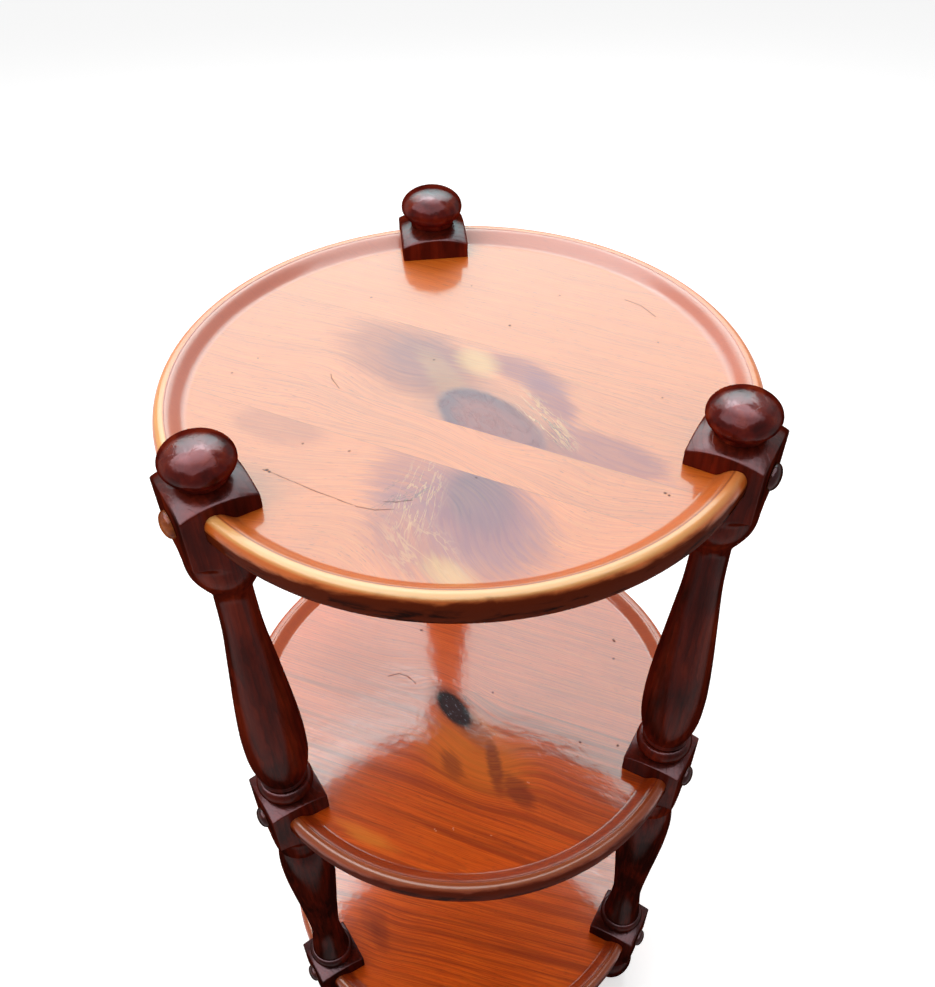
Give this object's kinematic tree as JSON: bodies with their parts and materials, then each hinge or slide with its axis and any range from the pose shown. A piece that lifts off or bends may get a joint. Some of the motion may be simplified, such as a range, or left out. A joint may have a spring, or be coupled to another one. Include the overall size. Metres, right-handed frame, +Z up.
{
  "type": "etagere table",
  "caption": "Round tiered etagere side table: dished wooden tray shelves with raised coved rims, gripped by turned posts with square blocks, ball finials and turned feet.",
  "frame": {"origin": "centre of the outline on the floor, under the shelves", "axes": "+Z up, +Y towards the single back post, +X to the right seen from the front"},
  "size_m": [0.37, 0.385, 0.7909],
  "materials": {
    "shelf_bottom": "stained pine under gloss lacquer",
    "shelf_middle": "stained pine under gloss lacquer",
    "shelf_top": "stained pine under gloss lacquer",
    "post_left": "dark red-brown stain under satin lacquer",
    "post_right": "dark red-brown stain under satin lacquer",
    "post_back": "dark red-brown stain under satin lacquer",
    "finial": "red-brown stain under gloss lacquer",
    "button": "red-brown stain under gloss lacquer",
    "screw": "plated steel"
  },
  "bodies": {
    "root": {"shelf_bottom": "shelf_bottom", "shelf_middle": "shelf_middle", "shelf_top": "shelf_top", "post_left": "post_left", "post_right": "post_right", "post_back": "post_back", "finial_left": "finial", "finial_right": "finial", "finial_back": "finial", "button_left_bottom": "button", "button_left_middle": "button", "button_left_top": "button", "button_right_bottom": "button", "button_right_middle": "button", "button_right_top": "button", "button_back_bottom": "button", "button_back_middle": "button", "button_back_top": "button", "screw_left_bottom": "screw", "screw_left_middle": "screw", "screw_left_top": "screw", "screw_right_bottom": "screw", "screw_right_middle": "screw", "screw_right_top": "screw", "screw_back_bottom": "screw", "screw_back_middle": "screw", "screw_back_top": "screw"}
  },
  "joints": []
}
